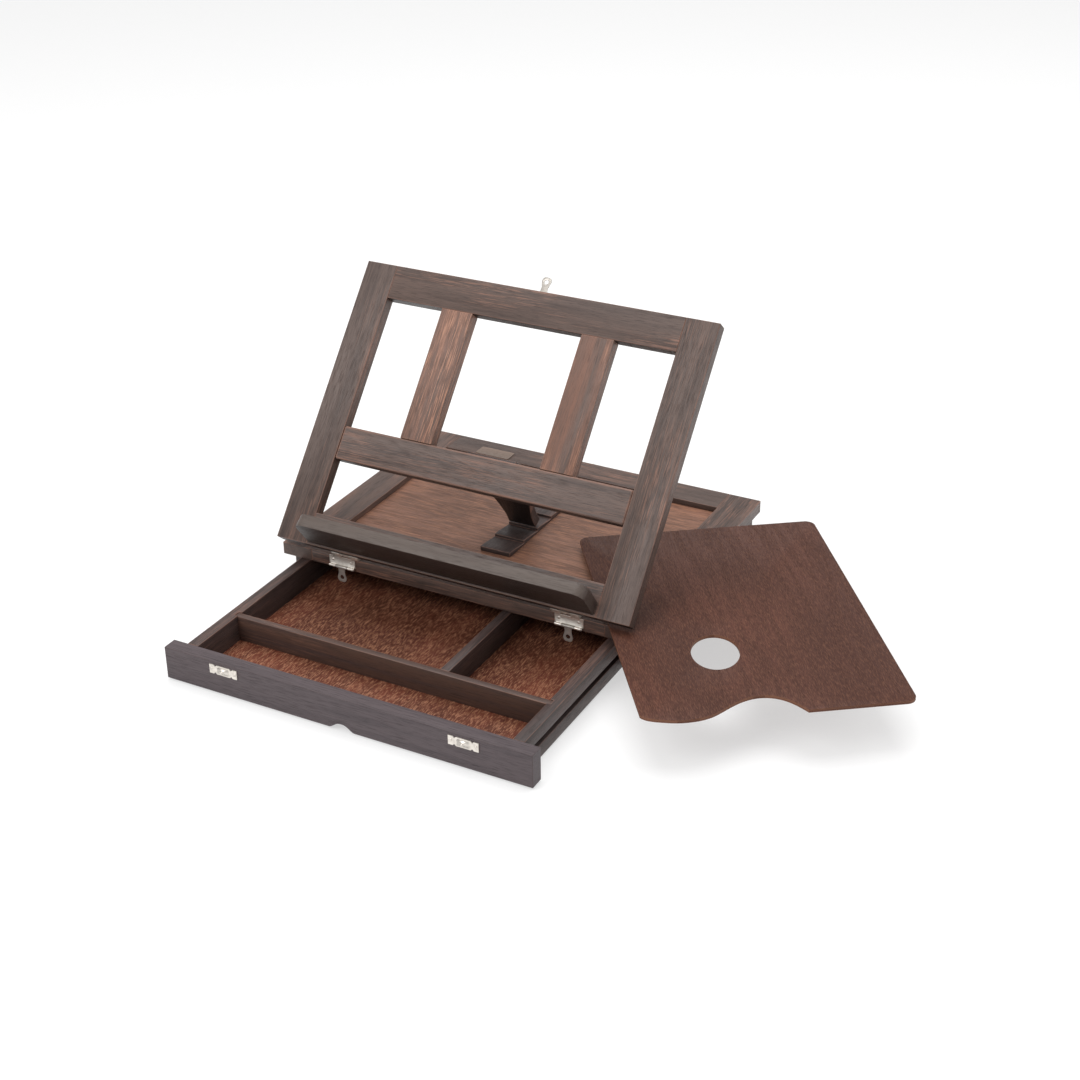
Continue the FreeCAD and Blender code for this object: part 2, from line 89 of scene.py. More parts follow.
WELD = 1e-6                     # vertices nearer than this are one vertex
FLAT = math.radians(0.5)        # faces that meet flatter than this are one face
SHARP = math.radians(32)        # edges sharper than this are broken
SQUARE_ON = 0.985               # a face this square to an axis isn't a broken edge
SEED_STEP = Vector((3.17, 1.43, 0.71))  # moves each board to its own part of the noise
UNDER = -0.3                    # a face whose normal points lower than this faces down and is darkened with painted shade
SIDE_ON = 0.5                   # a face turned further than this from a sheet's face is its edge

# How many features there are in a metre along, across and through the grain
BROAD_PATCH = (6, 26, 26)
LONG_STREAK = (6, 130, 130)
FINE_THREAD = (34, 1150, 1150)
TIMBER_PORE = (75, 2600, 2600)
PLY_CLOUD = (7, 11, 11)
PLY_FIGURE = (16, 170, 170)
FLECK_ACROSS = 1800
PORE_ACROSS = 2300

# and in a metre of metal or floor, each way
METAL_PATCH = (240, 240, 240)
METAL_MARK = (420, 420, 420)
PAPER_TOOTH = (60, 60, 60)

PLY_LAYER = 0.0008              # thickness of one veneer
PALETTE_BREAK = 0.0004          # the palette's rounded edge
PLAQUE_RIM = 0.0010             # width of the plaque's raised rim
PLAQUE_SINK = 0.0003            # depth of the middle of the plaque below its rim

FLOOR_HALF = 6.0                # the studio floor reaches this far each way, in metres
FLOOR_GLOW = 0.55               # light the white floor gives off, so that shadows stay pale
ROOM_LIGHT = 0.62               # strength of the white room
SENSOR = 36.0                   # width of the camera's sensor, in millimetres
LAMPS = (                       # name, place from the middle of the easel, watts, width in metres
    ("overhead", Vector((-0.2, 0.3, 1.9)), 26.0, 1.6),
    ("left_front", Vector((-0.9, -1.6, 1.7)), 21.0, 1.3),
    ("right_back", Vector((1.3, 1.5, 1.3)), 8.0, 1.4))


def joint(name):
    """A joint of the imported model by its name."""
    return next(j for j in frame["joints"] if j["name"] == name)


def fold_ratio():
    """How far the prop turns for one turn of the canvas frame."""
    couplings = frame["record"]["behaviour"]["couplings"]
    return next(c["ratio"] for c in couplings if c["joint"] == "prop_swing")


FRAME_TILT = -math.radians(joint("canvas_tilt")["range_deg"][0])
PROP_TILT = FRAME_TILT * (1 + fold_ratio())

RIGHT = Vector((1, 0, 0))
BACK = Vector((0, 1, 0))
UP = Vector((0, 0, 1))
FRAME_UP = Vector((0, math.cos(FRAME_TILT), math.sin(FRAME_TILT)))
FRAME_OUT = Vector((0, -math.sin(FRAME_TILT), math.cos(FRAME_TILT)))
PROP_DOWN = Vector((0, math.cos(PROP_TILT), math.sin(PROP_TILT)))


# ------------------------------------------------------------ settings

class EaselTimberSettings(bpy.types.PropertyGroup):
    edge_break: FloatProperty(
        name="Edge break", description="Width of the sanded edge on every sawn board",
        default=0.00045, min=0.0, unit="LENGTH")
    walnut_dark: FloatVectorProperty(
        name="Walnut dark", description="The stain where it took fully",
        default=(0.056, 0.036, 0.030), size=3, subtype="COLOR", min=0, max=1)
    walnut_mid: FloatVectorProperty(
        name="Walnut middle", description="The stain on most of each board",
        default=(0.106, 0.071, 0.059), size=3, subtype="COLOR", min=0, max=1)
    walnut_streak: FloatVectorProperty(
        name="Walnut streak", description="Bare wood where the stain was rubbed through",
        default=(0.320, 0.160, 0.110), size=3, subtype="COLOR", min=0, max=1)
    warm_mid: FloatVectorProperty(
        name="Warm middle", description="The redder stain of the two upright bars",
        default=(0.185, 0.092, 0.064), size=3, subtype="COLOR", min=0, max=1)
    warm_streak: FloatVectorProperty(
        name="Warm streak", description="Bare wood of the two upright bars",
        default=(0.420, 0.215, 0.140), size=3, subtype="COLOR", min=0, max=1)
    shade_dark: FloatVectorProperty(
        name="Drawer dark", description="The darker, cooler stain of the drawer and walls",
        default=(0.034, 0.023, 0.021), size=3, subtype="COLOR", min=0, max=1)
    shade_mid: FloatVectorProperty(
        name="Drawer middle", description="The cooler stain on most of the drawer",
        default=(0.068, 0.045, 0.041), size=3, subtype="COLOR", min=0, max=1)
    ledge: FloatVectorProperty(
        name="Ledge", description="The grey-brown of the canvas ledge",
        default=(0.100, 0.076, 0.064), size=3, subtype="COLOR", min=0, max=1)
    divider: FloatVectorProperty(
        name="Dividers", description="The warmer brown of the drawer's dividers",
        default=(0.100, 0.055, 0.040), size=3, subtype="COLOR", min=0, max=1)
    front_dark: FloatVectorProperty(
        name="Front dark", description="The smooth plum-brown stain of the drawer front",
        default=(0.066, 0.050, 0.055), size=3, subtype="COLOR", min=0, max=1)
    front_mid: FloatVectorProperty(
        name="Front middle", description="The lighter side of the drawer front's stain",
        default=(0.092, 0.070, 0.075), size=3, subtype="COLOR", min=0, max=1)


class EaselPlySettings(bpy.types.PropertyGroup):
    panel: FloatVectorProperty(
        name="Top panel", description="Stained plywood in the top of the case",
        default=(0.300, 0.150, 0.102), size=3, subtype="COLOR", min=0, max=1)
    floor: FloatVectorProperty(
        name="Drawer floor", description="Red-brown plywood in the drawer",
        default=(0.165, 0.043, 0.024), size=3, subtype="COLOR", min=0, max=1)
    palette: FloatVectorProperty(
        name="Palette", description="Oiled plywood of the palette",
        default=(0.098, 0.037, 0.025), size=3, subtype="COLOR", min=0, max=1)
    fleck: FloatVectorProperty(
        name="Fleck", description="Open grain that stayed pale",
        default=(0.400, 0.190, 0.110), size=3, subtype="COLOR", min=0, max=1)
    palette_turn: FloatProperty(
        name="Palette turn", description="Direction of the palette's length on the table",
        default=math.radians(-54.15), subtype="ANGLE")


class EaselHardwareSettings(bpy.types.PropertyGroup):
    plate_break: FloatProperty(
        name="Plate edge", description="Rounding of stamped metal edges",
        default=0.00012, min=0.0, unit="LENGTH")
    head_radius: FloatProperty(
        name="Head radius", description="Radius of a nail or screw head",
        default=0.00135, min=0.0001, unit="LENGTH")
    head_height: FloatProperty(
        name="Head height", description="How far a head stands up",
        default=0.00065, min=0.0001, unit="LENGTH")
    slot_width: FloatProperty(
        name="Slot width", description="Width of the slot in a screw head",
        default=0.00042, min=0.00005, unit="LENGTH")
    turn_seed: IntProperty(
        name="Turn seed", description="Seed for how each screw was left turned", default=7)
    nickel: FloatVectorProperty(
        name="Nickel", description="Plating on hasps, keepers and hinges",
        default=(0.80, 0.745, 0.68), size=3, subtype="COLOR", min=0, max=1)
    plaque: FloatVectorProperty(
        name="Plaque", description="Dull metal of the blank plaque",
        default=(0.30, 0.225, 0.185), size=3, subtype="COLOR", min=0, max=1)


class EaselStageSettings(bpy.types.PropertyGroup):
    azimuth: FloatProperty(
        name="Azimuth", description="How far the camera stands round to the right",
        default=math.radians(27.933), subtype="ANGLE")
    elevation: FloatProperty(
        name="Elevation", description="How far the camera looks down",
        default=math.radians(28.17), subtype="ANGLE")
    roll: FloatProperty(
        name="Roll", description="Turn of the camera about its own view",
        default=math.radians(-0.478), subtype="ANGLE")
    distance: FloatProperty(
        name="Distance", description="From the camera to what it looks at",
        default=1.50483, unit="LENGTH")
    aim: FloatVectorProperty(
        name="Aim", description="What the camera looks at, from the middle of the box",
        default=(-0.04834, -0.00885, -0.04393), size=3, subtype="TRANSLATION", unit="LENGTH")
    lens: FloatProperty(name="Lens", description="Focal length in millimetres", default=61.25)
    floor: FloatVectorProperty(
        name="Floor", description="Colour of the studio floor",
        default=(0.45, 0.45, 0.45), size=3, subtype="COLOR", min=0, max=1)


# ------------------------------------------------------------ materials

class Shader:
    """Builds one material's node tree. A socket given as a value is linked, anything else is set."""

    def __init__(self, name):
        self.material = bpy.data.materials.get(name) or bpy.data.materials.new(name)
        self.material.use_nodes = True
        self.tree = self.material.node_tree
        self.tree.nodes.clear()

    def add(self, kind, settings=None, **inputs):
        node = self.tree.nodes.new(kind)
        for key, value in (settings or {}).items():
            setattr(node, key, value)
        for key, value in inputs.items():
            socket = node.inputs[int(key[1:])] if key[0] == "i" and key[1:].isdigit() else node.inputs[key]
            if isinstance(value, bpy.types.NodeSocket):
                self.tree.links.new(value, socket)
            else:
                socket.default_value = value
        return node

    def attribute(self, name, output):
        node = self.add("ShaderNodeAttribute", {"attribute_name": name})
        return node.outputs[output]

    def noise(self, vector, stretch, detail=3.0, rough=0.55, distortion=0.0):
        """Noise whose features are one over stretch long, in metres, along each grain axis."""
        scaled = self.add("ShaderNodeVectorMath", {"operation": "MULTIPLY"}, i0=vector, i1=stretch)
        texture = self.add("ShaderNodeTexNoise", None, Vector=scaled.outputs[0], Scale=1.0, Detail=detail,
                           Roughness=rough, Distortion=distortion)
        return texture.outputs[0]

    def span(self, value, low, high, to_low=0.0, to_high=1.0):
        node = self.add("ShaderNodeMapRange", {"interpolation_type": "SMOOTHSTEP"}, Value=value)
        for key, number in (("From Min", low), ("From Max", high), ("To Min", to_low), ("To Max", to_high)):
            node.inputs[key].default_value = number
        return node.outputs[0]

    def math(self, operation, first, second):
        return self.add("ShaderNodeMath", {"operation": operation}, i0=first, i1=second).outputs[0]

    def mix(self, share, first, second):
        node = self.add("ShaderNodeMix", {"data_type": "RGBA"})
        for socket, value in ((node.inputs[0], share), (node.inputs[6], first), (node.inputs[7], second)):
            if isinstance(value, bpy.types.NodeSocket):
                self.tree.links.new(value, socket)
            elif socket.type == "RGBA":
                socket.default_value = (*value, 1.0)
            else:
                socket.default_value = value
        return node.outputs[2]

    def finish(self, colour, roughness, height, bump, depth, **constants):
        bumped = self.add("ShaderNodeBump", None, Strength=bump, Distance=depth, Height=height)
        surface = self.add("ShaderNodeBsdfPrincipled", None, Normal=bumped.outputs[0])
        self.tree.links.new(colour, surface.inputs["Base Color"])
        self.tree.links.new(roughness, surface.inputs["Roughness"])
        for key, value in constants.items():
            surface.inputs[key.replace("_", " ")].default_value = value
        self.add("ShaderNodeOutputMaterial", None, Surface=surface.outputs[0])
        return self.material


def stained_timber(name, dark, middle, streak, rubbed, gloss=0.36):
    """Open-pored timber under a dark stain that is rubbed through in long streaks."""
    s = Shader(name)
    grain = s.attribute("grain", "Vector")
    patch = s.span(s.noise(grain, BROAD_PATCH, 2.0), 0.42, 0.62)
    wide = s.noise(grain, LONG_STREAK, 4.0, 0.55, 0.30)
    fine = s.noise(grain, FINE_THREAD, 4.0, 0.66, 0.2)
    pores = s.span(s.noise(grain, TIMBER_PORE, 2.0, 0.5), 0.36, 0.47, 1.0, 0.0)
    base = s.mix(s.span(wide, 0.28, 0.62), dark, middle)
    base = s.mix(s.math("MULTIPLY", s.span(fine, 0.40, 0.60), 0.30), base, middle)
    threads = s.span(fine, 0.50, 0.64)
    share = s.math("MULTIPLY", threads, s.math("MULTIPLY", patch, rubbed))
    colour = s.mix(share, base, streak)
    bloom = s.math("MULTIPLY", s.span(wide, 0.50, 0.72), s.math("MULTIPLY", patch, rubbed * 0.45))
    colour = s.mix(bloom, colour, streak)
    colour = s.mix(s.math("MULTIPLY", pores, 0.55), colour, tuple(c * 0.45 for c in dark))
    # broken edges drawn lighter towards the streak colour: partly wear, partly a painted highlight
    worn = s.math("MULTIPLY", s.attribute("worn", "Fac"), s.span(wide, 0.30, 0.60, 0.12, 0.42))
    colour = s.mix(worn, colour, streak)
    colour = s.mix(s.math("MULTIPLY", s.attribute("end_grain", "Fac"), 0.55), colour, dark)
    roughness = s.math("ADD", s.span(fine, 0.3, 0.7, gloss, gloss + 0.14), s.math("MULTIPLY", pores, 0.18))
    height = s.math("SUBTRACT", s.math("MULTIPLY", fine, 0.5), pores)
    # painted shade: faces turned downwards are darkened towards a deeper brown
    painted_under_shade = s.math("MULTIPLY", s.attribute("underside", "Fac"), 0.9)
    colour = s.mix(painted_under_shade, colour, tuple(c * 0.55 for c in dark))
    return s.finish(colour, roughness, height, 0.30, 0.00022, Specular_IOR_Level=0.40)


def stained_ply(name, base, fleck, dash, amount, shade, gloss):
    """Rotary-cut plywood with short flecks along the grain and stacked layers on its edges."""
    s = Shader(name)
    grain = s.attribute("grain", "Vector")
    cloud = s.span(s.noise(grain, PLY_CLOUD, 2.0), 0.30, 0.70)
    figure = s.noise(grain, PLY_FIGURE, 3.0, 0.6, 0.6)
    dashes = s.noise(grain, (dash, FLECK_ACROSS, FLECK_ACROSS), 2.0, 0.5)
    pits = s.noise(grain, (dash * 1.5, PORE_ACROSS, PORE_ACROSS), 2.0)
    pores = s.span(pits, 0.34, 0.46, 1.0, 0.0)
    dark = tuple(c * shade for c in base)
    colour = s.mix(cloud, dark, base)
    colour = s.mix(s.span(figure, 0.38, 0.64, 0.0, 0.70), colour, dark)
    flecks = s.math("MULTIPLY", s.span(dashes, 0.48, 0.64), amount)
    colour = s.mix(flecks, colour, fleck)
    colour = s.mix(s.math("MULTIPLY", pores, 0.60), colour, tuple(c * 0.35 for c in base))
    layers = s.add("ShaderNodeSeparateXYZ", None, Vector=s.attribute("sheet", "Vector")).outputs[2]
    bands = s.math("PINGPONG", layers, PLY_LAYER)
    edge = s.math("MULTIPLY", s.attribute("side_face", "Fac"), s.span(bands, 0.0002, 0.0006, 0.02, 0.22))
    colour = s.mix(edge, colour, fleck)
    # broken edges drawn paler: partly wear, partly a painted highlight
    colour = s.mix(s.math("MULTIPLY", s.attribute("worn", "Fac"), 0.16), colour, fleck)
    roughness = s.math("ADD", s.span(figure, 0.3, 0.7, 0.36, 0.48), s.math("MULTIPLY", pores, 0.2))
    height = s.math("SUBTRACT", s.math("MULTIPLY", dashes, 0.4), pores)
    return s.finish(colour, roughness, height, 0.25, 0.0002, Specular_IOR_Level=gloss)


def plated_metal(name, colour, dull, metallic):
    """Plated metal with faint handling marks and slightly duller patches."""
    s = Shader(name)
    place = s.add("ShaderNodeTexCoord").outputs["Object"]
    patch = s.noise(place, METAL_PATCH, 3.0)
    marks = s.noise(place, METAL_MARK, 2.0)
    tint = s.mix(s.span(patch, 0.35, 0.7), colour, tuple(c * 0.86 for c in colour))
    roughness = s.math("ADD", s.span(patch, 0.3, 0.7, dull, dull + 0.14), s.span(marks, 0.5, 0.7, 0.0, 0.06))
    return s.finish(tint, roughness, marks, 0.03, 0.00003, Metallic=metallic)


def materials():
    """Every finish by its short name."""
    timber = bpy.context.scene.easel_timber
    ply = bpy.context.scene.easel_ply
    metal = bpy.context.scene.easel_hardware
    stain = {key: tuple(getattr(timber, key)) for key in EaselTimberSettings.__annotations__
             if key != "edge_break"}
    fleck = tuple(ply.fleck)
    nickel = tuple(metal.nickel)

    def timber_finish(name, dark, middle, streak, rubbed, **gloss):
        return stained_timber(name, stain[dark], stain[middle], stain[streak], rubbed, **gloss)

    return {
        "frame": timber_finish("frame_walnut", "walnut_dark", "walnut_mid", "walnut_streak", rubbed=0.62),
        "warm": timber_finish("warm_walnut", "walnut_mid", "warm_mid", "warm_streak", rubbed=1.0),
        "dark": timber_finish("dark_walnut", "shade_dark", "shade_mid", "walnut_streak", rubbed=0.28),
        "ledge": timber_finish("ledge_walnut", "walnut_dark", "ledge", "ledge", rubbed=0.18),
        "divider": timber_finish("divider_walnut", "shade_mid", "divider", "walnut_streak", rubbed=0.30),
        "front": timber_finish("plum_front", "front_dark", "front_mid", "shade_mid", rubbed=0.10, gloss=0.46),
        "panel": stained_ply("panel_plywood", tuple(ply.panel), fleck,
                             dash=60, amount=0.72, shade=0.42, gloss=0.32),
        "floor": stained_ply("floor_plywood", tuple(ply.floor), fleck,
                             dash=230, amount=0.85, shade=0.40, gloss=0.25),
        "palette": stained_ply("palette_plywood", tuple(ply.palette), fleck,
                               dash=170, amount=0.16, shade=0.62, gloss=0.14),
        "nickel": plated_metal("nickel_plate", nickel, dull=0.34, metallic=0.92),
        "tongue": plated_metal("worn_nickel", tuple(c * 0.55 for c in nickel), dull=0.30, metallic=0.55),
        "plaque": plated_metal("dull_plate", tuple(metal.plaque), dull=0.36, metallic=0.85),
    }


# ------------------------------------------------------------ shared piece making

made = {}


def finish_for(name):
    """A finish by its short name. All of them are made at the first call."""
    if not made:
        made.update(materials())
    return made[name]


def welded_copy(node):
    """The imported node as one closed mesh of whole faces."""
    work = bmesh.new()
    work.from_mesh(frame["nodes"][node].data)
    bmesh.ops.remove_doubles(work, verts=work.verts, dist=WELD)
    bmesh.ops.dissolve_limit(work, angle_limit=FLAT, verts=work.verts, edges=work.edges)
    return work


def break_edges(work, width):
    """Round the sharp edges of a piece."""
    sharp = [e for e in work.edges if len(e.link_faces) == 2 and e.calc_face_angle(0) > SHARP]
    if sharp and width > 0:
        bmesh.ops.bevel(work, geom=sharp, offset=width, offset_type="OFFSET", segments=2,
                        profile=0.5, affect="EDGES", clamp_overlap=True)


def add_piece(work, name, node, material):
    """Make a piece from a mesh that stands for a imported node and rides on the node's body."""
    bmesh.ops.triangulate(work, faces=[f for f in work.faces if len(f.verts) > 4])
    bmesh.ops.recalc_face_normals(work, faces=work.faces)
    mesh = bpy.data.meshes.new(name)
    work.to_mesh(mesh)
    work.free()
    mesh.shade_smooth()
    mesh.set_sharp_from_angle(angle=SHARP)
    mesh.materials.append(material)
    piece = bpy.data.objects.new(name, mesh)
    bpy.context.scene.collection.objects.link(piece)
    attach(piece, frame["nodes"][node]["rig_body"])
    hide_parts(node)
    return piece


def write_grain(piece, along, through, seed):
    """Store the grain directions on a board, and which faces are end grain, side faces, broken edges (wear
    and a painted highlight) or turned downwards (painted shade).
    """
    mesh = piece.data
    across = through.cross(along)
    offset = SEED_STEP * seed
    grain = mesh.attributes.new("grain", "FLOAT_VECTOR", "POINT")
    sheet = mesh.attributes.new("sheet", "FLOAT_VECTOR", "POINT")
    for vertex in mesh.vertices:
        place = Vector((vertex.co.dot(along), vertex.co.dot(across), vertex.co.dot(through)))
        sheet.data[vertex.index].vector = place
        grain.data[vertex.index].vector = place + offset
    marks = {key: mesh.attributes.new(key, "FLOAT", "FACE")
             for key in ("end_grain", "side_face", "worn", "underside")}
    for face in mesh.polygons:
        turned = [abs(face.normal.dot(axis)) for axis in (along, across, through)]
        marks["end_grain"].data[face.index].value = float(turned[0] > SQUARE_ON)
        marks["side_face"].data[face.index].value = float(turned[2] < SIDE_ON)
        marks["underside"].data[face.index].value = float(face.normal.z < UNDER)
        marks["worn"].data[face.index].value = float(max(turned) < SQUARE_ON)


def make_board(node, name, along, through, finish, slot, seed, width=None):
    """A board or sheet with broken edges, its grain running along one direction."""
    settings = bpy.context.scene.easel_timber
    work = welded_copy(node)
    break_edges(work, settings.edge_break if width is None else width)
    piece = add_piece(work, name, node, finish_for(finish))
    write_grain(piece, along, through, seed)
    return piece


def make_boards(boards, first_seed):
    """Each board is its node, the piece's name, its length, its face, its finish and its slot; the slot is
    not used.
    """
    for step, board in enumerate(boards):
        make_board(*board, first_seed + step)


# ------------------------------------------------------------ nail and screw heads

def head_tree():
    """A field of domed heads on points, each stood on the point's outward direction, slotted if asked."""
    tree = bpy.data.node_groups.get("domed_heads")
    if tree:
        return tree
    tree = bpy.data.node_groups.new("domed_heads", "GeometryNodeTree")
    for label, kind in (("Geometry", "Geometry"), ("Radius", "Float"), ("Height", "Float"),
                        ("Slot Width", "Float"), ("Slotted", "Bool"), ("Seed", "Int"),
                        ("Material", "Material")):
        tree.interface.new_socket(label, in_out="INPUT", socket_type="NodeSocket" + kind)
    tree.interface.new_socket("Geometry", in_out="OUTPUT", socket_type="NodeSocketGeometry")
    new, link = tree.nodes.new, tree.links.new
    given, result = new("NodeGroupInput"), new("NodeGroupOutput")
    ball = new("GeometryNodeMeshUVSphere")
    ball.inputs["Segments"].default_value = 20
    ball.inputs["Rings"].default_value = 10
    ball.inputs["Radius"].default_value = 1.0
    size = new("ShaderNodeCombineXYZ")
    for index, label in enumerate(("Radius", "Radius", "Height")):
        link(given.outputs[label], size.inputs[index])
    dome = new("GeometryNodeTransform")
    link(ball.outputs["Mesh"], dome.inputs["Geometry"])
    link(size.outputs[0], dome.inputs["Scale"])
    bar_size = new("ShaderNodeCombineXYZ")
    wide = new("ShaderNodeMath")
    wide.operation = "MULTIPLY"
    wide.inputs[1].default_value = 3.0
    link(given.outputs["Radius"], wide.inputs[0])
    link(wide.outputs[0], bar_size.inputs[0])
    link(given.outputs["Slot Width"], bar_size.inputs[1])
    link(given.outputs["Height"], bar_size.inputs[2])
    bar = new("GeometryNodeMeshCube")
    link(bar_size.outputs[0], bar.inputs["Size"])
    lift = new("ShaderNodeCombineXYZ")
    link(given.outputs["Height"], lift.inputs[2])
    raised = new("GeometryNodeTransform")
    link(bar.outputs["Mesh"], raised.inputs["Geometry"])
    link(lift.outputs[0], raised.inputs["Translation"])
    cut = new("GeometryNodeMeshBoolean")
    cut.operation = "DIFFERENCE"
    link(dome.outputs[0], cut.inputs[0])
    link(raised.outputs[0], cut.inputs[1])
    choose = new("GeometryNodeSwitch")
    choose.input_type = "GEOMETRY"
    link(given.outputs["Slotted"], choose.inputs["Switch"])
    link(dome.outputs[0], choose.inputs["False"])
    link(cut.outputs[0], choose.inputs["True"])
    outward = new("GeometryNodeInputNamedAttribute")
    outward.data_type = "FLOAT_VECTOR"
    outward.inputs["Name"].default_value = "outward"
    stand = new("FunctionNodeAlignRotationToVector")
    stand.axis = "Z"
    link(outward.outputs[0], stand.inputs["Vector"])
    chance = new("FunctionNodeRandomValue")
    chance.data_type = "FLOAT"
    chance.inputs[3].default_value = math.pi
    link(given.outputs["Seed"], chance.inputs["Seed"])
    spin = new("ShaderNodeCombineXYZ")
    link(chance.outputs[1], spin.inputs[2])
    turn = new("FunctionNodeRotateRotation")
    turn.rotation_space = "LOCAL"
    link(stand.outputs[0], turn.inputs[0])
    link(spin.outputs[0], turn.inputs[1])
    spread = new("GeometryNodeInstanceOnPoints")
    link(given.outputs["Geometry"], spread.inputs["Points"])
    link(choose.outputs[0], spread.inputs["Instance"])
    link(turn.outputs[0], spread.inputs["Rotation"])
    real = new("GeometryNodeRealizeInstances")
    link(spread.outputs[0], real.inputs[0])
    paint = new("GeometryNodeSetMaterial")
    link(real.outputs[0], paint.inputs["Geometry"])
    link(given.outputs["Material"], paint.inputs["Material"])
    link(paint.outputs[0], result.inputs[0])
    return tree


def solids_of(node):
    """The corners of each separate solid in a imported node, in a fixed order."""
    work = bmesh.new()
    work.from_mesh(frame["nodes"][node].data)
    bmesh.ops.remove_doubles(work, verts=work.verts, dist=WELD)
    left, found = set(work.verts), []
    while left:
        group, queue = [], [left.pop()]
        while queue:
            vertex = queue.pop()
            group.append(vertex.co.copy())
            for edge in vertex.link_edges:
                other = edge.other_vert(vertex)
                if other in left:
                    left.remove(other)
                    queue.append(other)
        found.append(group)
    work.free()
    return sorted(found, key=lambda points: tuple(round(c, 6) for c in points_middle(points)))


def points_middle(points):
    """The middle of the box round some points."""
    low = Vector(map(min, *points))
    high = Vector(map(max, *points))
    return (low + high) / 2


def make_heads(node, name, outward, slotted):
    """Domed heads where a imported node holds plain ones, standing on the same faces."""
    settings = bpy.context.scene.easel_hardware
    feet = []
    for points in solids_of(node):
        middle = points_middle(points)
        lowest = min(p.dot(outward) for p in points)
        feet.append(middle + outward * (lowest - middle.dot(outward)))
    mesh = bpy.data.meshes.new(name + "_feet")
    mesh.from_pydata(feet, [], [])
    direction = mesh.attributes.new("outward", "FLOAT_VECTOR", "POINT")
    for item in direction.data:
        item.vector = outward
    carrier = bpy.data.objects.new(name + "_feet", mesh)
    bpy.context.scene.collection.objects.link(carrier)
    modifier = carrier.modifiers.new("heads", "NODES")
    modifier.node_group = head_tree()
    values = {"Radius": settings.head_radius, "Height": settings.head_height,
              "Slot Width": settings.slot_width, "Slotted": slotted, "Seed": settings.turn_seed,
              "Material": finish_for("nickel")}
    for item in modifier.node_group.interface.items_tree:
        if item.in_out == "INPUT" and item.name in values:
            modifier[item.identifier] = values[item.name]
    ready = carrier.evaluated_get(bpy.context.evaluated_depsgraph_get())
    result = bpy.data.meshes.new_from_object(ready)
    bpy.data.objects.remove(carrier)
    bpy.data.meshes.remove(mesh)
    work = bmesh.new()
    work.from_mesh(result)
    bpy.data.meshes.remove(result)
    if not work.faces:
        raise RuntimeError("no heads were made for " + node)
    return add_piece(work, name, node, finish_for("nickel"))


# ------------------------------------------------------------ operators

class EASEL_OT_case(bpy.types.Operator):
    """Make the case's rails, walls, runners and ratchet"""
    bl_idname = "easel.case"
    bl_label = "Case timber"

    def execute(self, context):
        make_boards((
            ("case_left_rail", "left_top_rail", BACK, UP, "frame", "walnut"),
            ("case_right_rail", "right_top_rail", BACK, UP, "frame", "walnut"),
            ("case_front_rail", "front_top_rail", RIGHT, UP, "frame", "walnut"),
            ("case_rear_rail", "rear_top_rail", RIGHT, UP, "frame", "walnut"),
            ("case_left_wall", "left_wall", BACK, RIGHT, "dark", "walnut"),
            ("case_right_wall", "right_wall", BACK, RIGHT, "dark", "walnut"),
            ("case_rear_wall", "rear_wall", RIGHT, BACK, "dark", "walnut"),
            ("left_runner", "left_drawer_runner", BACK, UP, "dark", "walnut"),
            ("right_runner", "right_drawer_runner", BACK, UP, "dark", "walnut"),
            ("ratchet_strip", "ratchet", BACK, UP, "dark", "walnut")), 1)
        make_board("top_panel", "case_panel", RIGHT, UP, "panel", "panel_ply", 11, 0.0)
        return {"FINISHED"}


class EASEL_OT_drawer(bpy.types.Operator):
    """Make the drawer's boards, dividers and plywood floor"""
    bl_idname = "easel.drawer"
    bl_label = "Drawer"

    def execute(self, context):
        make_boards((
            ("drawer_front", "front_board", RIGHT, BACK, "front", "walnut"),
            ("drawer_left_side", "left_side_board", BACK, RIGHT, "dark", "walnut"),
            ("drawer_right_side", "right_side_board", BACK, RIGHT, "dark", "walnut"),
            ("drawer_back", "back_board", RIGHT, BACK, "dark", "walnut"),
            ("cross_divider", "pencil_divider", RIGHT, BACK, "divider", "walnut"),
            ("long_divider", "tube_divider", BACK, RIGHT, "dark", "walnut")), 20)
        make_board("drawer_floor", "floor_sheet", BACK, UP, "floor", "floor_ply", 29, 0.0)
        return {"FINISHED"}


class EASEL_OT_canvas_frame(bpy.types.Operator):
    """Make the canvas frame's stiles, rails, upright bars and ledge"""
    bl_idname = "easel.canvas_frame"
    bl_label = "Canvas frame"

    def execute(self, context):
        make_boards((
            ("frame_left_stile", "left_stile", FRAME_UP, FRAME_OUT, "frame", "walnut"),
            ("frame_right_stile", "right_stile", FRAME_UP, FRAME_OUT, "frame", "walnut"),
            ("frame_top_rail", "top_rail", RIGHT, FRAME_OUT, "frame", "walnut"),
            ("frame_crossbar", "crossbar", RIGHT, FRAME_OUT, "frame", "walnut"),
            ("frame_bottom_rail", "bottom_rail", RIGHT, FRAME_OUT, "frame", "walnut"),
            ("left_mullion", "left_upright", FRAME_UP, FRAME_OUT, "warm", "light_walnut"),
            ("right_mullion", "right_upright", FRAME_UP, FRAME_OUT, "warm", "light_walnut"),
            ("canvas_ledge", "ledge_board", RIGHT, FRAME_UP, "ledge", "walnut")), 40)
        return {"FINISHED"}


class EASEL_OT_prop(bpy.types.Operator):
    """Make the shaped prop that holds the canvas frame up"""
    bl_idname = "easel.prop"
    bl_label = "Prop"

    def execute(self, context):
        through = RIGHT.cross(PROP_DOWN)
        make_board("prop", "shaped_prop", PROP_DOWN, through, "dark", "walnut", 60)
        return {"FINISHED"}


class EASEL_OT_palette(bpy.types.Operator):
    """Make the plywood palette"""
    bl_idname = "easel.palette"
    bl_label = "Palette"

    def execute(self, context):
        turn = context.scene.easel_ply.palette_turn
        along = Vector((math.cos(turn), math.sin(turn), 0))
        make_board("palette", "palette_sheet", along, UP, "palette", "palette_ply", 70, PALETTE_BREAK)
        return {"FINISHED"}


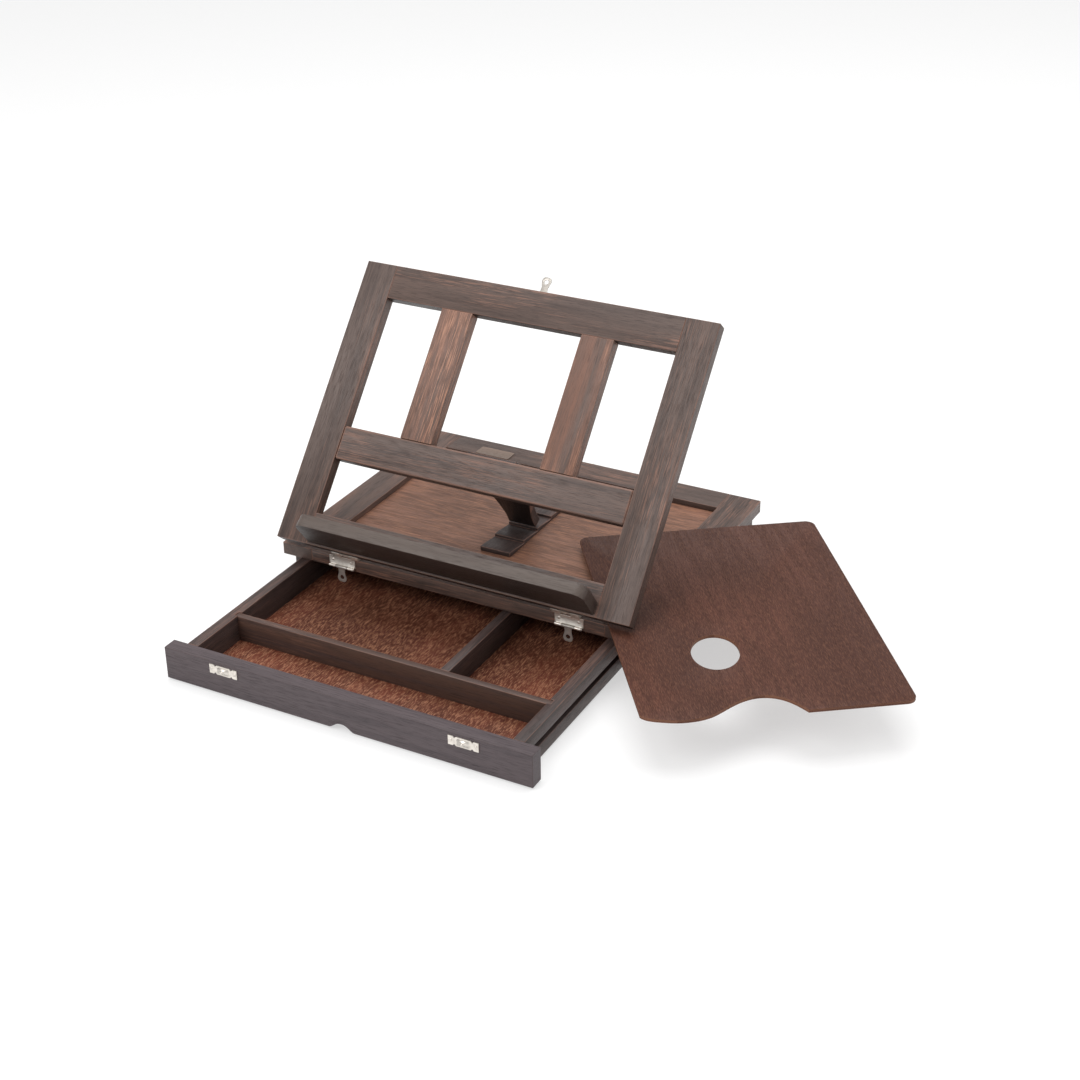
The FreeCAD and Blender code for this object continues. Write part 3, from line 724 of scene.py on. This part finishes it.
class EASEL_OT_hardware(bpy.types.Operator):
    """Make the hasps, keepers, hinges and the blank plaque"""
    bl_idname = "easel.hardware"
    bl_label = "Hardware"

    metal = (("front_hasp_plates", "hasp_plates"), ("front_hasp_pins", "hasp_pins"),
             ("left_hasp_tongue", "left_tongue"), ("right_hasp_tongue", "right_tongue"),
             ("drawer_keepers", "keepers"), ("rear_keeper", "back_keeper"), ("top_hasp_plate", "top_plate"),
             ("top_hasp_pin", "top_pin"), ("top_hasp_tongue", "top_tongue"),
             ("case_hinge_leaves", "case_leaves"), ("frame_hinge_leaves", "frame_leaves"),
             ("frame_hinge_pins", "hinge_pins"), ("prop_hinge_frame_leaf", "prop_frame_leaf"),
             ("prop_hinge_prop_leaf", "prop_leaf"), ("prop_hinge_pin", "prop_pin"))
    unbroken = ("hasp_plates", "keepers")       # rounding their small edges would spoil their shading

    def execute(self, context):
        width = context.scene.easel_hardware.plate_break
        for node, name in self.metal:
            work = welded_copy(node)
            if name not in self.unbroken:
                break_edges(work, width)
            finish = "tongue" if name.endswith("tongue") else "nickel"
            add_piece(work, name, node, finish_for(finish))
        work = welded_copy("blank_plaque")
        top = max(work.faces, key=lambda f: f.calc_area() * f.normal.z)
        bmesh.ops.inset_region(work, faces=[top], thickness=PLAQUE_RIM, depth=-PLAQUE_SINK)
        add_piece(work, "plaque", "blank_plaque", finish_for("plaque"))
        return {"FINISHED"}


class EASEL_OT_heads(bpy.types.Operator):
    """Make the nail and screw heads"""
    bl_idname = "easel.heads"
    bl_label = "Nail and screw heads"

    def execute(self, context):
        for node, name, outward, slotted in (
                ("front_hasp_nails", "hasp_nail_heads", -BACK, False),
                ("drawer_keeper_nails", "keeper_nail_heads", -BACK, False),
                ("rear_keeper_nails", "back_keeper_nail_heads", BACK, False),
                ("top_hasp_nails", "top_hasp_nail_heads", FRAME_UP, False),
                ("case_hinge_screws", "case_screw_heads", UP, True),
                ("frame_hinge_screws", "frame_screw_heads", -FRAME_OUT, True)):
            make_heads(node, name, outward, slotted)
        return {"FINISHED"}


class EASEL_OT_stage(bpy.types.Operator):
    """Make the studio floor, the soft lights and the camera"""
    bl_idname = "easel.stage"
    bl_label = "Studio"

    def execute(self, context):
        scene = context.scene
        settings = scene.easel_stage
        middle = (cad_low + cad_high) / 2
        mesh = bpy.data.meshes.new("studio_floor")
        corners = [(x * FLOOR_HALF, y * FLOOR_HALF, 0) for x, y in ((-1, -1), (1, -1), (1, 1), (-1, 1))]
        mesh.from_pydata(corners, [], [(0, 1, 2, 3)])
        floor = bpy.data.objects.new("studio_floor", mesh)
        scene.collection.objects.link(floor)
        paper = Shader("floor_paper")
        place = paper.add("ShaderNodeTexCoord").outputs["Object"]
        tooth = paper.noise(place, PAPER_TOOTH, 2.0)
        colour = tuple(settings.floor)
        tint = paper.mix(paper.span(tooth, 0.3, 0.7), colour, tuple(c * 0.985 for c in colour))
        rough = paper.span(tooth, 0.3, 0.7, 0.75, 0.85)
        glow = {"Emission_Color": (1.0, 1.0, 1.0, 1.0), "Emission_Strength": FLOOR_GLOW}
        mesh.materials.append(paper.finish(tint, rough, tooth, 0.05, 0.0002, **glow))
        world = bpy.data.worlds.new("soft_room")
        world.use_nodes = True
        world.node_tree.nodes["Background"].inputs[0].default_value = (1.0, 1.0, 1.0, 1.0)
        world.node_tree.nodes["Background"].inputs[1].default_value = ROOM_LIGHT
        scene.world = world
        scene.view_settings.view_transform = "Standard"
        for name, place, power, size in LAMPS:
            lamp = bpy.data.lights.new(name, "AREA")
            lamp.energy = power
            lamp.size = size
            light = bpy.data.objects.new(name, lamp)
            light.location = middle + place
            light.rotation_euler = (-place).to_track_quat("-Z", "Y").to_euler()
            scene.collection.objects.link(light)
        self.aim_camera(scene, settings, middle)
        return {"FINISHED"}

    def aim_camera(self, scene, settings, middle):
        turn, rise = settings.azimuth, settings.elevation
        away = Vector((math.sin(turn) * math.cos(rise), -math.cos(turn) * math.cos(rise), math.sin(rise)))
        right = Vector((math.cos(turn), math.sin(turn), 0))
        above = away.cross(right)
        c, s = math.cos(settings.roll), math.sin(settings.roll)
        rolled_right = right * c + above * s
        rolled_above = above * c - right * s
        data = bpy.data.cameras.new("view")
        data.lens = settings.lens
        data.sensor_width = SENSOR
        camera = bpy.data.objects.new("view", data)
        axes = Matrix((rolled_right, rolled_above, away)).transposed().to_4x4()
        place = middle + Vector(settings.aim) + away * settings.distance
        camera.matrix_world = Matrix.Translation(place) @ axes
        scene.collection.objects.link(camera)
        scene.camera = camera


STEPS = (EASEL_OT_case, EASEL_OT_drawer, EASEL_OT_canvas_frame, EASEL_OT_prop, EASEL_OT_palette,
         EASEL_OT_hardware, EASEL_OT_heads, EASEL_OT_stage)
GROUPS = (("easel_timber", EaselTimberSettings), ("easel_ply", EaselPlySettings),
          ("easel_hardware", EaselHardwareSettings), ("easel_stage", EaselStageSettings))


class EASEL_PT_panel(bpy.types.Panel):
    """The easel's sizes, colours and steps"""
    bl_idname = "EASEL_PT_panel"
    bl_label = "Sketch Box Easel"
    bl_space_type = "VIEW_3D"
    bl_region_type = "UI"
    bl_category = "Easel"

    def draw(self, context):
        for attribute, group in GROUPS:
            box = self.layout.box()
            for key in group.__annotations__:
                box.prop(getattr(context.scene, attribute), key)
        for step in STEPS:
            self.layout.operator(step.bl_idname)


def register():
    for attribute, group in GROUPS:
        bpy.utils.register_class(group)
        setattr(bpy.types.Scene, attribute, PointerProperty(type=group))
    for item in (*STEPS, EASEL_PT_panel):
        bpy.utils.register_class(item)


def unregister():
    for item in reversed((*STEPS, EASEL_PT_panel)):
        bpy.utils.unregister_class(item)
    for attribute, group in reversed(GROUPS):
        delattr(bpy.types.Scene, attribute)
        bpy.utils.unregister_class(group)


def main():
    register()
    bpy.ops.easel.case()
    bpy.ops.easel.drawer()
    bpy.ops.easel.canvas_frame()
    bpy.ops.easel.prop()
    bpy.ops.easel.palette()
    bpy.ops.easel.hardware()
    bpy.ops.easel.heads()
    bpy.ops.easel.stage()


if __name__ == "__main__":
    main()
